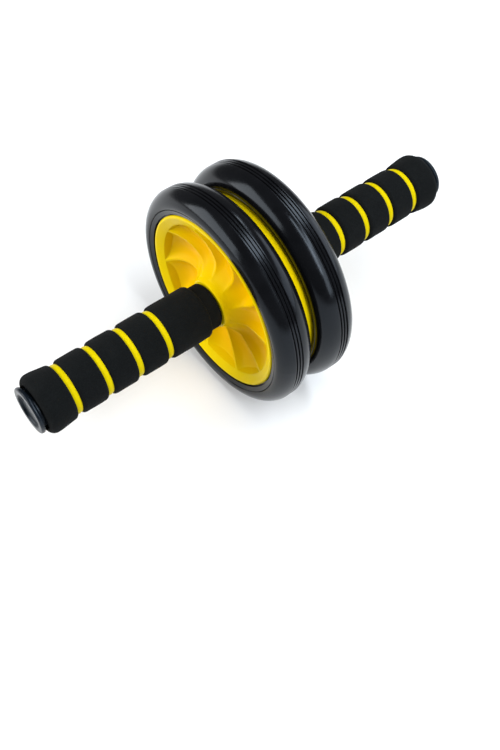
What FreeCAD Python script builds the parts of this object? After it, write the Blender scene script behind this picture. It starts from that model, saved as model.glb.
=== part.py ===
import FreeCAD, Part
import math
import os

# Double-tyre exercise roller. Millimetres; Y runs along the axle, Z is up, X is the rolling direction.
# The origin is the middle of the axle, half way between the two tyres.

# Axle and bearing
axle_radius = 7.0
axle_wall = 2.0
axle_inset = 3.6
running_clearance = 0.05
washer_clearance = 0.2
bush_wall = 2.5
bush_flange_width = 1.9
bush_flange_depth = 2.0
bush_depth = 24.0
flange_pocket_clearance = 0.3
washer_thickness = 1.2
washer_width = 3.6
end_play = 0.3

# Wheel
rim_radius = 60.0
rim_flange = 2.2
rim_edge_round = 1.1
rim_land_width = 1.8
rim_bevel_width = 4.8
rim_bevel_drop = 2.4
rim_bevel_round = 0.8
hub_proud = 1.0
hub_radius = 16.3
hub_edge_round = 0.9
hub_step = 3.0
hub_skirt = 1.3
hub_wall = 4.0
tyre_seat_depth = 3.5
tyre_wall_slope = 0.5
band_half_width = 3.4
band_edge_round = 0.5
parting_groove = 0.15
dish_drop = 9.0
dish_low_share = 0.32
web_wall = 3.2
cavity_wall = 3.2
cavity_corner = 2.5

# Swirl pockets of the wheel face
pocket_count = 10
pocket_depth = 5.4
pocket_headroom = 16.0
pocket_hub_margin = 0.2
pocket_rim_margin = 0.4
pocket_rim_slope = 5.0
rib_lift = 0.1
rib_top_share = 0.05
swirl_turns_share = 0.055
swirl_power_share = 1.25
pocket_phase_share = 0.155
pocket_row_count = 13
pocket_overrun_share = 0.12
pocket_side_share = 0.2
pocket_full_depth_share = 0.72
pocket_rim_fade_share = 0.2
pocket_side_power_share = 2.8
seam_turn_share = 0.17
pocket_across_shares = (-1.15, -1.0, -0.85, -0.65, -0.35, 0.0, 0.35, 0.65, 0.85, 1.0, 1.15)

# Tyre section
tyre_height = 15.0
tyre_half_width = 11.6
tyre_inner_width = 14.2
tyre_bead_inset = 3.4
tyre_rim_clearance = 1.1
tyre_drum_clearance = 0.4
tyre_lip_width = 3.2
tyre_lip_inset = 1.3
tyre_crease = 0.4
tyre_bead_clearance = 0.15
tread_groove_count = 3
tread_groove_pitch = 2.2
tread_groove_depth = 0.8
tread_groove_half_width = 0.55
tread_groove_floor_share = 0.45
shoulder_height_shares = (0.32, 0.6, 0.82, 0.955)
shoulder_width_shares = (0.985, 0.855, 0.645, 0.41)

# Grips
grip_radius = 18.0
grip_length = 117.0
core_depth_share = 0.5
core_flute_radius = 1.2
core_flute_count = 6
ring_count = 4
ring_first_share = 0.265
ring_pitch_share = 0.1853
ring_width = 3.8
ring_recess = 1.5
ring_crown = 0.5
foam_round = 2.2
foam_flare = 1.5
foam_flare_round = 12.0
foam_flare_share = 0.62
foam_end_round = 4.6
foam_lip_recess = 3.6
foam_lip_round = 1.4
foam_lip_depth = 2.4

# Collar between grip and hub
collar_radius = 15.3
collar_length = 8.9
collar_round = 1.6
collar_hub_gap = 0.6

# End cap
cap_radius = 15.3
cap_thickness = 2.9
cap_gap = 1.5
cap_round = 1.2
cap_neck_inset = 0.3
cap_face_inset = 3.9
cap_face_depth = 1.7
cap_face_slope = 1.0
cap_face_round = 0.6
cap_stem_length = 22.0
cap_stem_chamfer = 0.8

# Places along the axle and radii that follow from the values above
tyre_centre = band_half_width + tyre_inner_width
tyre_seat_half_width = tyre_half_width - tyre_bead_inset
tyre_seat_radius = rim_radius - tyre_seat_depth
tyre_radius = rim_radius + tyre_height
seat_low = tyre_centre - tyre_seat_half_width
seat_high = tyre_centre + tyre_seat_half_width
rim_face = seat_high + rim_flange
hub_face = rim_face + hub_proud
collar_start = hub_face + collar_hub_gap
foam_inner_end = collar_start + collar_length
foam_end = foam_inner_end + grip_length
core_end = foam_end - foam_lip_depth
axle_end = core_end - axle_inset
core_radius = axle_radius + (grip_radius - axle_radius) * core_depth_share

axis = FreeCAD.Vector(0, 1, 0)
origin = FreeCAD.Vector(0, 0, 0)
full_turn = 360.0


def point(radius, along):
    return FreeCAD.Vector(radius, along, 0)


def rounded_edges(corners):
    """Edges of a closed outline; each corner is (radius, along, rounding)."""
    count = len(corners)
    starts, ends, arcs = [], [], []
    for i in range(count):
        here = point(corners[i][0], corners[i][1])
        back = point(*corners[i - 1][:2]).sub(here)
        on = point(*corners[(i + 1) % count][:2]).sub(here)
        size = corners[i][2]
        if size <= 0:
            starts.append(here)
            ends.append(here)
            arcs.append(None)
            continue
        back.normalize()
        on.normalize()
        half = back.getAngle(on) / 2
        reach = size / math.tan(half)
        first = here.add(back * reach)
        last = here.add(on * reach)
        middle_way = back.add(on)
        middle_way.normalize()
        middle = here.add(middle_way * (size / math.sin(half) - size))
        starts.append(first)
        ends.append(last)
        arcs.append(Part.Arc(first, middle, last).toShape())
    edges = []
    for i in range(count):
        if arcs[i] is not None:
            edges.append(arcs[i])
        a, b = ends[i], starts[(i + 1) % count]
        if a.distanceToPoint(b) > FreeCAD.Base.Precision.confusion():
            edges.append(Part.makeLine(a, b))
    return edges


def turned(edges):
    """Solid of revolution about the axle."""
    face = Part.Face(Part.Wire(Part.__sortEdges__(edges)))
    return face.revolve(origin, axis, full_turn)


def turned_corners(corners):
    return turned(rounded_edges(corners))


def other_side(shape):
    """The same piece turned round to the other end of the axle."""
    copy = shape.copy()
    copy.rotate(origin, FreeCAD.Vector(1, 0, 0), full_turn / 2)
    return copy


# Axle
tube = turned_corners([
    (axle_radius - axle_wall, -axle_end, 0),
    (axle_radius, -axle_end, 0),
    (axle_radius, axle_end, 0),
    (axle_radius - axle_wall, axle_end, 0),
])

# Hub bush with its flange let into the hub
bush_bore = axle_radius + running_clearance
bush_radius = bush_bore + bush_wall
bush_flange_radius = bush_radius + bush_flange_width
bush_face = hub_face + running_clearance
bush_start = hub_face - bush_depth
bush = turned_corners([
    (bush_bore, bush_start, 0),
    (bush_radius, bush_start, 0),
    (bush_radius, bush_face - bush_flange_depth, 0),
    (bush_flange_radius, bush_face - bush_flange_depth, 0),
    (bush_flange_radius, bush_face, 0),
    (bush_bore, bush_face, 0),
])

# Thrust washer on the axle, between bush flange and collar
washer_start = bush_face + end_play
washer_end = washer_start + washer_thickness
washer = turned_corners([
    (axle_radius + washer_clearance, washer_start, 0),
    (axle_radius + washer_clearance + washer_width, washer_start, 0),
    (axle_radius + washer_clearance + washer_width, washer_end, 0),
    (axle_radius + washer_clearance, washer_end, 0),
])

# Wheel half: drum, tyre seat, rim, dish and hub in one moulding
dish_inner = hub_radius + hub_skirt
dish_outer = rim_radius - rim_land_width - rim_bevel_width
dish_hub_height = hub_face - hub_step
dish_rim_height = rim_face - rim_bevel_drop
dish_low = rim_face - dish_drop


def crest(radius):
    """Height of the rib tops over the mid plane: a bowl, lowest nearer to the hub."""
    share = (radius - dish_inner) / (dish_outer - dish_inner)
    if share < dish_low_share:
        return dish_low + (dish_hub_height - dish_low) * (1 - share / dish_low_share) ** 2
    return dish_low + (dish_rim_height - dish_low) * ((share - dish_low_share) / (1 - dish_low_share)) ** 2


flange_pocket = bush_flange_radius + flange_pocket_clearance
bowl_count = 13
bowl_radii = [dish_inner + (dish_outer - dish_inner) * i / (bowl_count - 1) for i in range(bowl_count)]
bowl = Part.BSplineCurve()
bowl.interpolate([point(r, crest(r)) for r in bowl_radii])
rim_corners = [
    (dish_outer, dish_rim_height, 0),
    (rim_radius - rim_land_width, rim_face, rim_bevel_round),
    (rim_radius, rim_face, rim_edge_round),
    (rim_radius, seat_high + tyre_wall_slope, 0),
    (tyre_seat_radius, seat_high, 0),
    (tyre_seat_radius, seat_low, 0),
    (rim_radius, seat_low - tyre_wall_slope, band_edge_round),
    (rim_radius, parting_groove, 0),
    (rim_radius - parting_groove, 0, 0),
    (bush_radius, 0, 0),
    (bush_radius, bush_face - bush_flange_depth, 0),
    (flange_pocket, bush_face - bush_flange_depth, 0),
    (flange_pocket, hub_face, 0),
    (hub_radius, hub_face, hub_edge_round),
    (dish_inner, dish_hub_height, 0),
]
half_edges = rounded_edges(rim_corners)
closing = point(dish_inner, dish_hub_height).add(point(dish_outer, dish_rim_height)) * (1 / 2)
half_edges = [e for e in half_edges if e.CenterOfMass.distanceToPoint(closing) > rim_edge_round]
half_edges.append(bowl.toShape())
wheel_half = turned(half_edges)
cavity_height = dish_low - pocket_depth - web_wall
cavity = turned_corners([
    (bush_radius + hub_wall, -cavity_height, 0),
    (tyre_seat_radius - cavity_wall, -cavity_height, 0),
    (tyre_seat_radius - cavity_wall, cavity_height, cavity_corner),
    (bush_radius + hub_wall, cavity_height, cavity_corner),
])
wheel_half = wheel_half.cut(cavity).Solids[0]
wheel_half.rotate(origin, axis, full_turn / pocket_count * seam_turn_share)

# One swirl pocket: a trough on a curved centre line that deepens from the hub, kept between sloped end walls
pocket_start = dish_inner + pocket_hub_margin
pocket_end = dish_outer - pocket_rim_margin
half_pitch = math.pi / pocket_count


def eased(share):
    share = min(max(share, 0), 1)
    return share * share * (3 - 2 * share)


rows = []
for i in range(pocket_row_count):
    run = i / (pocket_row_count - 1) * (1 + 2 * pocket_overrun_share) - pocket_overrun_share
    radius = pocket_start + (pocket_end - pocket_start) * run
    turn = 2 * math.pi * swirl_turns_share * max(run, 0) ** swirl_power_share
    deep = 1 - (1 - min(run / pocket_full_depth_share, 1)) ** 2
    shallow = pocket_rim_fade_share * eased((run - pocket_full_depth_share) / (1 - pocket_full_depth_share))
    depth = pocket_depth * deep * (1 - shallow)
    side_depth = max(depth, pocket_depth * pocket_side_share)
    row = []
    for across in pocket_across_shares:
        side_way = (abs(across) / (1 - rib_top_share)) ** pocket_side_power_share
        height = crest(radius) + rib_lift - depth + side_depth * side_way
        angle = half_pitch * (across - 2 * pocket_phase_share) - turn
        row.append(FreeCAD.Vector(radius * math.cos(angle), height, radius * math.sin(angle)))
    rows.append(row)
zone_floor = cavity_height
zone_top = hub_face + pocket_headroom
zone = turned_corners([
    (pocket_start, zone_top, 0),
    (pocket_start, zone_floor, 0),
    (pocket_end - pocket_rim_slope, zone_floor, 0),
    (pocket_end, dish_rim_height, 0),
    (pocket_end, zone_top, 0),
])
zone.rotate(origin, axis, full_turn / 2)
scoop = Part.BSplineSurface()
scoop.interpolate(rows)
scoop_solid = scoop.toShape().extrude(FreeCAD.Vector(0, pocket_headroom, 0))
scoop_solid = scoop_solid.common(zone).Solids[0]
cutters = []
for i in range(pocket_count):
    cutter = scoop_solid.copy()
    cutter.rotate(origin, axis, i * full_turn / pocket_count)
    cutters.append(cutter)
wheel_half = wheel_half.cut(cutters).Solids[0]

# Tyre: bead in the seat, sloped lips, crease, full shoulders, tread grooves; wider on the inner side
bead_half = tyre_seat_half_width - tyre_bead_clearance


def chain(points):
    return [Part.makeLine(points[i], points[i + 1]) for i in range(len(points) - 1)]


def tyre_side(width, clearance, way):
    """Edges of one side of the section, seat to tread; way is +1 for the outer side, -1 for the inner."""
    lip = rim_radius + clearance
    top = lip + tyre_lip_width
    side = [
        point(tyre_seat_radius, way * bead_half),
        point(lip, way * bead_half),
        point(lip, way * (width - tyre_lip_inset)),
        point(top - tyre_crease, way * (width - tyre_crease)),
        point(top, way * (width - 2 * tyre_crease)),
        point(top + tyre_crease, way * (width - tyre_crease / 2)),
    ]
    shoulder = [side[-1]]
    for high, wide in zip(shoulder_height_shares, shoulder_width_shares):
        shoulder.append(point(top + (tyre_radius - top) * high, way * width * wide))
    shoulder.append(point(tyre_radius, way * tread_half))
    curve = Part.BSplineCurve()
    curve.interpolate(shoulder)
    return chain(side) + [curve.toShape()]


tread_half = tread_groove_pitch * (tread_groove_count - 1) / 2 + 2 * tread_groove_half_width
tread = [point(tyre_radius, tread_half)]
for i in range(tread_groove_count):
    mid = tread_groove_pitch * ((tread_groove_count - 1) / 2 - i)
    floor = tread_groove_half_width * tread_groove_floor_share
    tread.append(point(tyre_radius, mid + tread_groove_half_width))
    tread.append(point(tyre_radius - tread_groove_depth, mid + floor))
    tread.append(point(tyre_radius - tread_groove_depth, mid - floor))
    tread.append(point(tyre_radius, mid - tread_groove_half_width))
tread.append(point(tyre_radius, -tread_half))
tyre_edges = tyre_side(tyre_half_width, tyre_rim_clearance, 1)
tyre_edges += tyre_side(tyre_inner_width, tyre_drum_clearance, -1)
tyre_edges += chain(tread)
tyre_edges.append(Part.makeLine(point(tyre_seat_radius, bead_half), point(tyre_seat_radius, -bead_half)))
tyre = turned(tyre_edges)
tyre.translate(FreeCAD.Vector(0, tyre_centre, 0))

# Collar: starts at the washer, ends under the first foam piece
washer_seat = axle_radius + 2 * washer_clearance + washer_width
collar = turned_corners([
    (axle_radius, washer_end, 0),
    (washer_seat, washer_end, 0),
    (washer_seat, collar_start, 0),
    (collar_radius, collar_start, collar_round),
    (collar_radius, foam_inner_end, 0),
    (axle_radius, foam_inner_end, 0),
])

# Fluted core pressed on the axle, under the foam
core = turned_corners([
    (axle_radius, foam_inner_end, 0),
    (core_radius, foam_inner_end, 0),
    (core_radius, core_end, 0),
    (axle_radius, core_end, 0),
])
flute_length = core_end - foam_inner_end
for i in range(core_flute_count):
    flute = Part.makeCylinder(core_flute_radius, flute_length, point(core_radius, foam_inner_end), axis)
    flute.rotate(origin, axis, i * full_turn / core_flute_count)
    core = core.cut(flute)

# Grip rings and foam pieces
ring_shares = [ring_first_share + ring_pitch_share * i for i in range(ring_count)]
ring_places = [foam_inner_end + grip_length * share for share in ring_shares]
ring_radius = grip_radius - ring_recess
rings = []
for place in ring_places:
    low = place - ring_width / 2
    high = place + ring_width / 2
    edges = chain([
        point(ring_radius - ring_crown, high),
        point(core_radius, high),
        point(core_radius, low),
        point(ring_radius - ring_crown, low),
    ])
    dome = Part.Arc(edges[-1].Vertexes[-1].Point, point(ring_radius, place), edges[0].Vertexes[0].Point)
    edges.append(dome.toShape())
    rings.append(turned(edges))
foam_starts = [foam_inner_end] + [p + ring_width / 2 for p in ring_places]
foam_stops = [p - ring_width / 2 for p in ring_places]
foams = []
for low, high in zip(foam_starts, foam_stops):
    foams.append(turned_corners([
        (core_radius, low, 0),
        (grip_radius, low, foam_round),
        (grip_radius, high, foam_round),
        (core_radius, high, 0),
    ]))
last_start = foam_starts[-1]
foam_end_radius = grip_radius + foam_flare
foam_lip_radius = grip_radius - foam_lip_recess
foams.append(turned_corners([
    (core_radius, last_start, 0),
    (grip_radius, last_start, foam_round),
    (foam_end_radius, last_start + (foam_end - last_start) * foam_flare_share, foam_flare_round),
    (foam_end_radius, foam_end, foam_end_round),
    (foam_lip_radius, foam_end, foam_lip_round),
    (foam_lip_radius, core_end, 0),
    (core_radius, core_end, 0),
]))

# End cap: dished flange standing clear of the foam, neck on the core, stem in the axle bore
cap_back = foam_end + cap_gap
cap_front = cap_back + cap_thickness
stem_radius = axle_radius - axle_wall
cap_neck_radius = core_radius - cap_neck_inset
cap_face_radius = cap_radius - cap_face_inset
cap = turned_corners([
    (0, core_end - cap_stem_length, 0),
    (stem_radius - cap_stem_chamfer, core_end - cap_stem_length, 0),
    (stem_radius, core_end - cap_stem_length + cap_stem_chamfer, 0),
    (stem_radius, core_end, 0),
    (cap_neck_radius, core_end, 0),
    (cap_neck_radius, cap_back, 0),
    (cap_radius, cap_back, cap_round),
    (cap_radius, cap_front, cap_round),
    (cap_face_radius, cap_front, cap_face_round),
    (cap_face_radius - cap_face_slope, cap_front - cap_face_depth, cap_face_round),
    (0, cap_front - cap_face_depth, 0),
])

pieces = {"axle_tube": tube}
paired = {
    "hub_bush": bush,
    "thrust_washer": washer,
    "wheel_half": wheel_half,
    "tyre": tyre,
    "grip_collar": collar,
    "grip_core": core,
    "end_cap": cap,
}
for i, ring in enumerate(rings):
    paired["grip_ring_%d" % (i + 1)] = ring
for i, foam in enumerate(foams):
    paired["grip_foam_%d" % (i + 1)] = foam
for name, shape in paired.items():
    pieces[name + "_left"] = shape
    pieces[name + "_right"] = other_side(shape)

os.makedirs("parts", exist_ok=True)
for name, shape in pieces.items():
    solid = shape.Solids[0] if shape.ShapeType != "Solid" and len(shape.Solids) == 1 else shape
    solid.exportStep("parts/" + name + ".step")
    print(name, solid.ShapeType, len(shape.Solids), solid.isValid(), round(solid.Volume), len(solid.Faces))
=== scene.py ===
import math

import bpy
import numpy as np
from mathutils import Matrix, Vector


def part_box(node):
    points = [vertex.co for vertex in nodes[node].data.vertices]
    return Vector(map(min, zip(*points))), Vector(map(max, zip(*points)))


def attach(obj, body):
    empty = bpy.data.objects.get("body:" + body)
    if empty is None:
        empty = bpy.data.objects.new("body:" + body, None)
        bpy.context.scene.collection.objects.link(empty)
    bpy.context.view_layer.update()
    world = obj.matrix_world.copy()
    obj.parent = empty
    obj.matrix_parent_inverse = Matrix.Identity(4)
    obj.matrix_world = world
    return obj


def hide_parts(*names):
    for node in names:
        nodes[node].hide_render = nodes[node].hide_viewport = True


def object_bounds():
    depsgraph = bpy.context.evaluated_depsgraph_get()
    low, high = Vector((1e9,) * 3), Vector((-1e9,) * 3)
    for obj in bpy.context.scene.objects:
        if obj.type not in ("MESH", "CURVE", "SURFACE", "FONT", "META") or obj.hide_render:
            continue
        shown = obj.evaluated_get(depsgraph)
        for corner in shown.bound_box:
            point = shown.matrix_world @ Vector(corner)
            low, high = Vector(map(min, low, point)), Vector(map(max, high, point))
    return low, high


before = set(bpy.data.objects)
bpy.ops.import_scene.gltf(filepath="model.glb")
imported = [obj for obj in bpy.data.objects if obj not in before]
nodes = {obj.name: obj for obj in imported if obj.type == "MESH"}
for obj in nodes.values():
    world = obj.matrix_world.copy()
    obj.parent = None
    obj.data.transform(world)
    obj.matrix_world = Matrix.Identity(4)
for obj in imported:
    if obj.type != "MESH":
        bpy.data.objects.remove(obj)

# Looks of a double-tyre exercise roller. Metres; Y runs along the axle, Z is up, the origin is mid-axle.

cad_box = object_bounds()
sides = ("left", "right")
mm = 0.001
full_turn = 2 * math.pi


# Foam sleeves of the grips

foam_round = 2.2 * mm
foam_bore_round = 0.4 * mm
foam_end_round = 4.6 * mm
foam_lip_round = 1.4 * mm
foam_flare_round = 14.0 * mm
foam_flare_share = 0.62
foam_lip_depth = 2.4 * mm
foam_lip_recess = 3.6 * mm
foam_lump = 0.09 * mm
foam_crown = 0.12 * mm
foam_step = 0.7 * mm
foam_arc_count = 9
foam_turn_count = 160
foam_count = 5
least_length = 1e-9

# Waves round the axle, waves along it in radians per metre, and a shift in radians
lump_waves = ((3, 210.0, 0.4), (5, 330.0, 1.9), (8, 470.0, 3.1))


def softened(corners):
    """Closed outline of (radius, along) points: every corner becomes an arc of its own radius, tangent to
    both sides, and every straight run between two arcs is divided into short equal steps."""
    places = np.array([c[:2] for c in corners])
    rounds = np.array([c[2] for c in corners])
    back = np.roll(places, 1, 0) - places
    on = np.roll(places, -1, 0) - places
    back /= np.linalg.norm(back, axis=1)[:, None]
    on /= np.linalg.norm(on, axis=1)[:, None]
    half = np.arccos(np.clip((back * on).sum(1), -1, 1)) / 2
    middle = back + on
    middle /= np.linalg.norm(middle, axis=1)[:, None]
    centres = places + middle * (rounds / np.sin(half))[:, None]
    starts = places + back * (rounds / np.tan(half))[:, None]
    ends = places + on * (rounds / np.tan(half))[:, None]
    share = np.linspace(0, 1, foam_arc_count)[:, None]
    parts = []
    for i in range(len(corners)):
        chord = starts[i] * (1 - share) + ends[i] * share - centres[i]
        length = np.linalg.norm(chord, axis=1)[:, None]
        parts.append(centres[i] + chord / np.maximum(length, least_length) * rounds[i])
        run = starts[(i + 1) % len(corners)] - ends[i]
        count = max(int(np.linalg.norm(run) / foam_step), 1)
        parts.append(ends[i] + run * (np.arange(1, count) / count)[:, None])
    return np.concatenate(parts)


def ring_mesh(name, radius, along, angle):
    """Closed ring surface from whole arrays: point (i, j) stands at radius[i, j] from the axle, at
    along[i, j] on it and at angle[i, j] round it; the grid closes on itself both ways."""
    rows, columns = radius.shape
    points = np.stack([radius * np.cos(angle), along, radius * np.sin(angle)], -1).reshape(-1, 3)
    i, j = np.meshgrid(np.arange(rows), np.arange(columns), indexing="ij")
    here = i * columns
    below = (i + 1) % rows * columns
    beside = (j + 1) % columns
    quads = np.stack([here + j, here + beside, below + beside, below + j], -1)
    mesh = bpy.data.meshes.new(name)
    mesh.from_pydata(points.tolist(), [], quads.reshape(-1, 4).tolist())
    mesh.polygons.foreach_set("use_smooth", np.ones(len(mesh.polygons), bool))
    mesh.update()
    piece = bpy.data.objects.new(name, mesh)
    bpy.context.scene.collection.objects.link(piece)
    return piece


def foam_sleeve(name, corners, low, high, bore, phase):
    """Moulded foam sleeve: the softened outline turned round the axle. Its skin stands up to foam_crown
    higher in the middle of its length than at its ends, and carries low lumps, the sum of three waves round
    and along it; both die away towards the bore."""
    outline = softened(corners)
    turn = np.arange(foam_turn_count) / foam_turn_count * full_turn
    radius, angle = np.meshgrid(outline[:, 0], turn, indexing="ij")
    along = np.repeat(outline[:, 1:], foam_turn_count, 1)
    outward = np.clip((radius - bore) / (radius.max() - bore), 0, 1) ** 2
    waves = [np.sin(n * angle + k * along + shift + phase) for n, k, shift in lump_waves]
    lumps = sum(waves) / len(lump_waves)
    belly = 1 - (2 * (along - low) / (high - low) - 1) ** 2
    radius = radius + outward * (foam_lump * (lumps - 1) + foam_crown * (belly - 1))
    return ring_mesh(name, radius, along, angle)


def grip_sleeves(side):
    """The sleeves of one grip, each in the space of its CAD solid; the last one flares to the end."""
    way = 1 if side == "left" else -1
    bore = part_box("grip_core_" + side)[1][0]
    sleeves = []
    for number in range(1, foam_count + 1):
        node = "grip_foam_%d_%s" % (number, side)
        lowest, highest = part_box(node)
        near, far = sorted((abs(lowest[1]), abs(highest[1])))
        outer = highest[0]
        if number < foam_count:
            corners = [
                (bore, near, foam_bore_round),
                (outer, near, foam_round),
                (outer, far, foam_round),
                (bore, far, foam_bore_round),
            ]
            plain_radius = outer
        else:
            lip = plain_radius - foam_lip_recess
            corners = [
                (bore, near, foam_bore_round),
                (plain_radius, near, foam_round),
                (outer, near + (far - near) * foam_flare_share, foam_flare_round),
                (outer, far, foam_end_round),
                (lip, far, foam_lip_round),
                (lip, far - foam_lip_depth, 0),
                (bore, far - foam_lip_depth, 0),
            ]
        corners = [(radius, way * along, rounding) for radius, along, rounding in corners]
        if way > 0:
            corners = corners[::-1]
        name = "foam_sleeve_%d_%s" % (number, side)
        sleeve = foam_sleeve(name, corners, way * near, way * far, bore, number)
        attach(sleeve, "handle")
        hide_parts(node)
        sleeves.append(sleeve)
    return sleeves


sleeves = [sleeve for side in sides for sleeve in grip_sleeves(side)]


# Node helpers

def add(tree, kind, values=None, **settings):
    """Adds a node; a value that is a socket gets linked, any other is set on the socket of that name."""
    made = tree.nodes.new(kind)
    for key, setting in settings.items():
        setattr(made, key, setting)
    for key, value in (values or {}).items():
        socket = made.inputs[key]
        if isinstance(value, bpy.types.NodeSocket):
            tree.links.new(value, socket)
        else:
            socket.default_value = value
    return made


def maths(tree, operation, a, b=0.0):
    return add(tree, "ShaderNodeMath", {0: a, 1: b}, operation=operation).outputs[0]


def ranged(tree, value, low, high, to_low=0.0, to_high=1.0):
    limits = {"Value": value, "From Min": low, "From Max": high, "To Min": to_low, "To Max": to_high}
    return add(tree, "ShaderNodeMapRange", limits).outputs["Result"]


# Sockets of a Mix node that mixes colours
mix_factor = 0
mix_first = 6
mix_second = 7
mix_result = 2


def mixed(tree, factor, first, second):
    values = {mix_factor: factor, mix_first: first, mix_second: second}
    return add(tree, "ShaderNodeMix", values, data_type="RGBA").outputs[mix_result]


def noise(tree, place, scale, detail, **more):
    values = {"Vector": place, "Scale": scale, "Detail": detail, **more}
    return add(tree, "ShaderNodeTexNoise", values).outputs["Fac"]


def object_place(tree):
    return add(tree, "ShaderNodeTexCoord").outputs["Object"]


def axle_distance(tree, split):
    """Distance of a split place from the axle: the root of X squared plus Z squared."""
    across = maths(tree, "POWER", split.outputs["X"], 2.0)
    upward = maths(tree, "POWER", split.outputs["Z"], 2.0)
    return maths(tree, "SQRT", maths(tree, "ADD", across, upward))


def colour(red, green, blue):
    return (red, green, blue, 1.0)


def grey(level):
    return colour(level, level, level)


# Shared effects

noise_low = 0.3
noise_high = 0.7
ring_wander = 0.6 * mm
wander_scale = 25.0
speck_scale = 1800.0
dust_full = 0.5
recess_top = 26.5 * mm
recess_floor = 14.5 * mm
recess_edge = 56.0 * mm
recess_inside = 50.0 * mm


def group(name, inputs, outputs):
    """An empty shader group with its sockets; every input and output is a plain number."""
    tree = bpy.data.node_groups.new(name, "ShaderNodeTree")
    for socket, start in inputs:
        made = tree.interface.new_socket(socket, in_out="INPUT", socket_type="NodeSocketFloat")
        made.default_value = start
    for socket in outputs:
        tree.interface.new_socket(socket, in_out="OUTPUT", socket_type="NodeSocketFloat")
    return tree, tree.nodes.new("NodeGroupInput"), tree.nodes.new("NodeGroupOutput")


def moulded_skin():
    """Moulded plastic: cloudy flow marks, and a fine even grain as height."""
    inputs = [("Flow Scale", 40.0), ("Grain Scale", 2600.0)]
    tree, given, out = group("moulded_skin", inputs, ["Flow", "Grain"])
    place = object_place(tree)
    flow = noise(tree, place, given.outputs["Flow Scale"], detail=3.0, Distortion=0.6)
    grain = noise(tree, place, given.outputs["Grain Scale"], detail=2.0)
    tree.links.new(ranged(tree, flow, noise_low, noise_high), out.inputs["Flow"])
    tree.links.new(grain, out.inputs["Grain"])
    return tree


def turned_marks():
    """Fine rings round the axle, as a turned mould leaves them: waves of the radius and of the place along
    the axle, with a little wander."""
    tree, given, out = group("turned_marks", [("Pitch", 0.6 * mm)], ["Rings", "Wander"])
    place = object_place(tree)
    split = add(tree, "ShaderNodeSeparateXYZ", {0: place})
    wander = noise(tree, place, wander_scale, detail=2.0)
    way = maths(tree, "ADD", axle_distance(tree, split), split.outputs["Y"])
    way = maths(tree, "ADD", way, maths(tree, "MULTIPLY", wander, ring_wander))
    turns = maths(tree, "DIVIDE", way, given.outputs["Pitch"])
    rings = maths(tree, "SINE", maths(tree, "MULTIPLY", turns, full_turn))
    tree.links.new(rings, out.inputs["Rings"])
    tree.links.new(wander, out.inputs["Wander"])
    return tree


def dust_film():
    """Faint dust: patches of a coarse noise broken up by a fine one, 0 clean to 1 dusty."""
    tree, given, out = group("dust_film", [("Scale", 60.0), ("Cover", 0.5)], ["Dust"])
    place = object_place(tree)
    patch = noise(tree, place, given.outputs["Scale"], detail=5.0)
    speck = noise(tree, place, speck_scale, detail=2.0)
    broken = maths(tree, "MULTIPLY", patch, speck)
    least = maths(tree, "MULTIPLY", given.outputs["Cover"], dust_full)
    tree.links.new(ranged(tree, broken, least, dust_full), out.inputs["Dust"])
    return tree


def recess_depth():
    """How deep a point lies in the wheel's dish: 0 at the rim and off the dish, 1 on the lowest floors."""
    inputs = [("Top", recess_top), ("Floor", recess_floor)]
    tree, given, out = group("recess_depth", inputs, ["Depth"])
    split = add(tree, "ShaderNodeSeparateXYZ", {0: object_place(tree)})
    height = maths(tree, "ABSOLUTE", split.outputs["Y"])
    fall = ranged(tree, height, given.outputs["Top"], given.outputs["Floor"])
    inside = ranged(tree, axle_distance(tree, split), recess_edge, recess_inside)
    tree.links.new(maths(tree, "MULTIPLY", fall, inside), out.inputs["Depth"])
    return tree


skin_group = moulded_skin()
recess_group = recess_depth()
turned_group = turned_marks()
dust_group = dust_film()


# Materials

grain_height = 0.2 * mm
foam_cell_height = 0.3 * mm
foam_cell_middle = 0.1
foam_cell_wall = 0.75
foam_wall_share = 0.6
rubber_ring_share = 0.25
rubber_dust_dulling = 0.05
# Share of the painted shade that tints the deep pockets of the wheel's dish
recess_shade_share = 0.9
edge_samples = 6
blue_shine = colour(0.76, 0.87, 1.0)
yellow_shine = colour(1.0, 0.86, 0.3)
yellow_dust = colour(0.75, 0.62, 0.3)
black_dust = grey(0.2)
foam_dust = colour(0.08, 0.09, 0.09)

wheel_yellow = colour(0.88, 0.66, 0.001)
wheel_yellow_deep = colour(0.84, 0.61, 0.001)
ring_yellow = colour(0.68, 0.54, 0.001)
ring_yellow_deep = colour(0.64, 0.5, 0.001)
# Painted shade: the deeper amber that the pockets of the wheel's dish are tinted towards
recess_shade_colour = colour(0.85, 0.45, 0.0)
rubber_black = colour(0.0024, 0.0025, 0.003)
rubber_black_pale = colour(0.0042, 0.0043, 0.0052)
foam_black = colour(0.0034, 0.004, 0.0043)
foam_black_pale = colour(0.0062, 0.0073, 0.0077)
cap_black = colour(0.0034, 0.0056, 0.009)
cap_black_pale = colour(0.0055, 0.0086, 0.0132)
collar_black = colour(0.004, 0.0045, 0.0047)
collar_black_pale = colour(0.007, 0.0079, 0.0082)
nylon_milky = colour(0.62, 0.61, 0.57)
nylon_milky_pale = colour(0.76, 0.75, 0.71)
steel_dark = colour(0.42, 0.43, 0.44)
steel_bright = colour(0.62, 0.63, 0.64)


def material(name):
    made = bpy.data.materials.new(name)
    made.use_nodes = True
    tree = made.node_tree
    return made, tree, tree.nodes["Principled BSDF"]


def use(tree, shared, **values):
    made = add(tree, "ShaderNodeGroup", node_tree=shared)
    for key, value in values.items():
        made.inputs[key.replace("_", " ").title()].default_value = value
    return made


def dusted(tree, tint, dust, share, dust_colour):
    """The tint with a share of the dust's colour where the dust lies."""
    return mixed(tree, maths(tree, "MULTIPLY", dust.outputs["Dust"], share), tint, dust_colour)


def set_roughness(tree, shader, flow, smooth, dull):
    """Roughness from smooth to dull as the flow marks go from 0 to 1."""
    gloss = ranged(tree, flow, 0.0, 1.0, to_low=smooth, to_high=dull)
    tree.links.new(gloss, shader.inputs["Roughness"])


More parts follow.
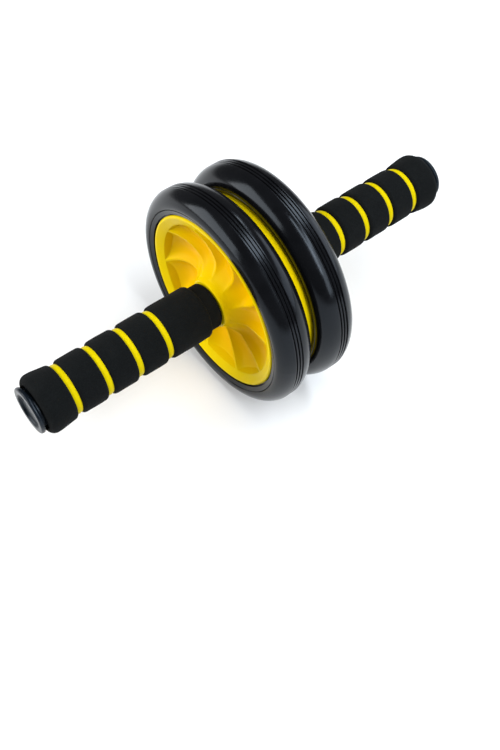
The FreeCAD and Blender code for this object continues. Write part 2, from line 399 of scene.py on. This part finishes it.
def set_shine(shader, level, tint):
    shader.inputs["Specular IOR Level"].default_value = level
    shader.inputs["Specular Tint"].default_value = tint


def soft_edge(tree, edge_round):
    return add(tree, "ShaderNodeBevel", {"Radius": edge_round}, samples=edge_samples).outputs["Normal"]


def set_normal(tree, shader, height, strength, distance, base=None):
    bump = add(tree, "ShaderNodeBump", {"Height": height, "Strength": strength, "Distance": distance})
    if base is not None:
        tree.links.new(base, bump.inputs["Normal"])
    tree.links.new(bump.outputs["Normal"], shader.inputs["Normal"])


def yellow_plastic(name, light, deep, rough, edge_round):
    """Yellow plastic with cloudy flow marks in colour and gloss, a painted shade that turns the colour a
    deeper amber deep in the dish, a fine moulded grain and softened edges."""
    made, tree, shader = material(name)
    skin = use(tree, skin_group, flow_scale=38.0, grain_scale=2400.0)
    dust = use(tree, dust_group, scale=70.0, cover=0.62)
    recess = use(tree, recess_group, top=recess_top, floor=recess_floor)
    # Painted shade: the deeper a point lies in the wheel's dish, the more its colour turns to a deeper amber
    recess_shade_mask = maths(tree, "MULTIPLY", recess.outputs["Depth"], recess_shade_share)
    tint = mixed(tree, skin.outputs["Flow"], deep, light)
    tint = mixed(tree, recess_shade_mask, tint, recess_shade_colour)
    tint = dusted(tree, tint, dust, share=0.02, dust_colour=yellow_dust)
    tree.links.new(tint, shader.inputs["Base Color"])
    set_roughness(tree, shader, skin.outputs["Flow"], smooth=rough * 0.88, dull=rough * 1.15)
    set_shine(shader, level=0.05, tint=yellow_shine)
    edge = soft_edge(tree, edge_round)
    set_normal(tree, shader, skin.outputs["Grain"], strength=0.02, distance=grain_height, base=edge)
    return made


def tyre_rubber():
    """Black rubber with a soft gloss: fine turned rings, a faint dust in the dull places."""
    made, tree, shader = material("tyre_rubber_gloss")
    rings = use(tree, turned_group, pitch=0.75 * mm)
    skin = use(tree, skin_group, flow_scale=55.0, grain_scale=3000.0)
    dust = use(tree, dust_group, scale=45.0, cover=0.6)
    tint = mixed(tree, skin.outputs["Flow"], rubber_black, rubber_black_pale)
    tint = dusted(tree, tint, dust, share=0.008, dust_colour=black_dust)
    tree.links.new(tint, shader.inputs["Base Color"])
    gloss = ranged(tree, skin.outputs["Flow"], 0.0, 1.0, to_low=0.155, to_high=0.2)
    dull = maths(tree, "MULTIPLY", dust.outputs["Dust"], rubber_dust_dulling)
    tree.links.new(maths(tree, "ADD", gloss, dull), shader.inputs["Roughness"])
    set_shine(shader, level=0.22, tint=blue_shine)
    marks = maths(tree, "MULTIPLY", rings.outputs["Rings"], rubber_ring_share)
    height = maths(tree, "ADD", marks, skin.outputs["Grain"])
    set_normal(tree, shader, height, strength=0.022, distance=grain_height)
    return made


def grip_foam():
    """Matt black closed-cell foam: small cells as height, a little paler on their walls, and a soft bloom."""
    made, tree, shader = material("grip_foam_cells")
    place = object_place(tree)
    cells = add(tree, "ShaderNodeTexVoronoi", {"Vector": place, "Scale": 1500.0, "Randomness": 1.0})
    coarse = noise(tree, place, scale=420.0, detail=4.0, Roughness=0.6)
    dust = use(tree, dust_group, scale=90.0, cover=0.5)
    wall = ranged(tree, cells.outputs["Distance"], foam_cell_middle, foam_cell_wall)
    tint = mixed(tree, wall, foam_black, foam_black_pale)
    tint = dusted(tree, tint, dust, share=0.03, dust_colour=foam_dust)
    tree.links.new(tint, shader.inputs["Base Color"])
    gloss = ranged(tree, coarse, noise_low, noise_high, to_low=0.86, to_high=0.98)
    tree.links.new(gloss, shader.inputs["Roughness"])
    shader.inputs["Specular IOR Level"].default_value = 0.06
    shader.inputs["Sheen Weight"].default_value = 0.02
    shader.inputs["Sheen Roughness"].default_value = 0.5
    height = maths(tree, "ADD", maths(tree, "MULTIPLY", wall, foam_wall_share), coarse)
    set_normal(tree, shader, height, strength=0.55, distance=foam_cell_height)
    return made


def black_plastic(name, tint_low, tint_high, rough, shine, bump, edge_round):
    """Black moulded plastic with a fine grain, slightly uneven gloss, softened edges and a trace of dust."""
    made, tree, shader = material(name)
    skin = use(tree, skin_group, flow_scale=80.0, grain_scale=3200.0)
    dust = use(tree, dust_group, scale=80.0, cover=0.55)
    tint = mixed(tree, skin.outputs["Flow"], tint_low, tint_high)
    tint = dusted(tree, tint, dust, share=0.03, dust_colour=black_dust)
    tree.links.new(tint, shader.inputs["Base Color"])
    set_roughness(tree, shader, skin.outputs["Flow"], smooth=rough * 0.85, dull=rough * 1.2)
    set_shine(shader, level=shine, tint=blue_shine)
    edge = soft_edge(tree, edge_round)
    set_normal(tree, shader, skin.outputs["Grain"], strength=bump, distance=grain_height, base=edge)
    return made


def nylon():
    """Natural nylon: milky off-white with cloudy flow marks."""
    made, tree, shader = material("washer_nylon_milky")
    skin = use(tree, skin_group, flow_scale=120.0, grain_scale=2800.0)
    tint = mixed(tree, skin.outputs["Flow"], nylon_milky, nylon_milky_pale)
    tree.links.new(tint, shader.inputs["Base Color"])
    set_roughness(tree, shader, skin.outputs["Flow"], smooth=0.4, dull=0.55)
    set_normal(tree, shader, skin.outputs["Grain"], strength=0.08, distance=grain_height)
    return made


def drawn_steel():
    """Drawn steel tube: bright metal with fine rings and uneven gloss."""
    made, tree, shader = material("axle_steel_drawn")
    rings = use(tree, turned_group, pitch=0.4 * mm)
    tint = mixed(tree, rings.outputs["Wander"], steel_dark, steel_bright)
    tree.links.new(tint, shader.inputs["Base Color"])
    shader.inputs["Metallic"].default_value = 1.0
    gloss = ranged(tree, rings.outputs["Wander"], noise_low, noise_high, to_low=0.22, to_high=0.38)
    tree.links.new(gloss, shader.inputs["Roughness"])
    set_normal(tree, shader, rings.outputs["Rings"], strength=0.08, distance=grain_height)
    return made


# A finish for each kind of piece, by the start of its name
finishes = {
    "wheel_half": yellow_plastic(
        "wheel_yellow_gloss", wheel_yellow, wheel_yellow_deep,
        rough=0.24, edge_round=0.7 * mm,
    ),
    "grip_ring": yellow_plastic(
        "ring_yellow_gloss", ring_yellow, ring_yellow_deep,
        rough=0.36, edge_round=0.3 * mm,
    ),
    "grip_core": yellow_plastic(
        "core_yellow_plain", wheel_yellow, wheel_yellow_deep,
        rough=0.5, edge_round=0.3 * mm,
    ),
    "tyre": tyre_rubber(),
    "grip_foam": grip_foam(),
    "end_cap": black_plastic(
        "cap_black_semi_gloss", cap_black, cap_black_pale,
        rough=0.28, shine=0.2, bump=0.06, edge_round=1.0 * mm,
    ),
    "grip_collar": black_plastic(
        "collar_black_matt", collar_black, collar_black_pale,
        rough=0.85, shine=0.08, bump=0.4, edge_round=0.5 * mm,
    ),
    "hub_bush": black_plastic(
        "bush_black_nylon", cap_black, cap_black_pale,
        rough=0.45, shine=0.4, bump=0.12, edge_round=0.3 * mm,
    ),
    "thrust_washer": nylon(),
    "axle_tube": drawn_steel(),
}

for name, piece in nodes.items():
    finish = next(finishes[start] for start in finishes if name.startswith(start))
    piece.data.materials.clear()
    piece.data.materials.append(finish)
for sleeve in sleeves:
    sleeve.data.materials.append(finishes["grip_foam"])


# Floor, light and camera

floor_reach = 6.0
floor_level = cad_box[0][2]
floor_white = grey(0.95)
floor_bounce = grey(0.5)
floor_bounce_pale = grey(0.54)
room_colour = colour(0.95, 0.97, 1.0)
room_strength = 0.16
lamp_aim = Vector((0, 0, 0))

# Name, place, width, height, power in watts and tint of each lamp
lamps = (
    ("key", (-0.7, -1.1, 0.62), 1.35, 1.1, 23.0, (1.0, 0.99, 0.97)),
    ("strip", (1.15, 0.1, 0.55), 0.35, 0.9, 5.0, (0.92, 0.96, 1.0)),
    ("long_top", (0.25, 0.45, 1.05), 1.9, 0.22, 12.0, (0.9, 0.95, 1.0)),
    ("gap_strip", (0.6, -0.04, 0.85), 0.14, 1.1, 5.0, (0.92, 0.96, 1.0)),
    ("back_low", (0.45, 1.3, 0.35), 1.6, 0.7, 8.0, (0.85, 0.92, 1.0)),
)

camera_place = Vector((0.32178, -0.25252, 0.45531))
camera_aim = Vector((0.05937, -0.04332, 0.0))
image_height = 750
focal_pixels = 953.5
sensor_height = 24.0


def turned_to(place, aim):
    return (aim - place).to_track_quat("-Z", "Y").to_euler()


def floor():
    """Plain square floor at the lowest level of the tyres. Camera, glossy and transmission rays see it
    white, other rays a mid grey."""
    x, y = np.meshgrid(np.linspace(-1, 1, 2), np.linspace(-1, 1, 2), indexing="ij")
    level = np.full_like(x, floor_level)
    points = np.stack([x * floor_reach, y * floor_reach, level], -1).reshape(-1, 3)
    mesh = bpy.data.meshes.new("floor")
    mesh.from_pydata(points.tolist(), [], [(0, 2, 3, 1)])
    mesh.update()
    piece = bpy.data.objects.new("floor", mesh)
    bpy.context.scene.collection.objects.link(piece)
    made, tree, shader = material("floor_pale")
    path = add(tree, "ShaderNodeLightPath").outputs
    mirrored = maths(tree, "MAXIMUM", path["Is Glossy Ray"], path["Is Transmission Ray"])
    seen = maths(tree, "MAXIMUM", path["Is Camera Ray"], mirrored)
    cloud = noise(tree, object_place(tree), scale=3.0, detail=2.0)
    bounce = mixed(tree, cloud, floor_bounce, floor_bounce_pale)
    tree.links.new(mixed(tree, seen, bounce, floor_white), shader.inputs["Base Color"])
    shader.inputs["Roughness"].default_value = 0.9
    shader.inputs["Specular IOR Level"].default_value = 0.0
    piece.data.materials.append(made)


def softbox(name, place, width, height, power, tint):
    """Rectangular soft light turned to the roller. It lights and reflects, but isn't itself in view."""
    lamp = bpy.data.lights.new(name, "AREA")
    lamp.shape = "RECTANGLE"
    lamp.size = width
    lamp.size_y = height
    lamp.energy = power
    lamp.color = tint
    holder = bpy.data.objects.new(name, lamp)
    bpy.context.scene.collection.objects.link(holder)
    holder.location = place
    holder.visible_camera = False
    holder.rotation_euler = turned_to(Vector(place), lamp_aim)


def room_light():
    """Even light from all round, for the shaded sides."""
    world = bpy.data.worlds.new("studio")
    bpy.context.scene.world = world
    world.use_nodes = True
    back = world.node_tree.nodes["Background"]
    back.inputs["Color"].default_value = room_colour
    back.inputs["Strength"].default_value = room_strength


def camera():
    """Level camera at the photograph's angle; the focal length is in pixels of a 500 by 750 image."""
    lens = bpy.data.cameras.new("camera")
    lens.sensor_fit = "VERTICAL"
    lens.sensor_height = sensor_height
    lens.lens = focal_pixels / image_height * sensor_height
    holder = bpy.data.objects.new("camera", lens)
    bpy.context.scene.collection.objects.link(holder)
    holder.location = camera_place
    holder.rotation_euler = turned_to(camera_place, camera_aim)
    bpy.context.scene.camera = holder


floor()
room_light()
for lamp in lamps:
    softbox(*lamp)
camera()
bpy.context.scene.view_settings.view_transform = "Standard"
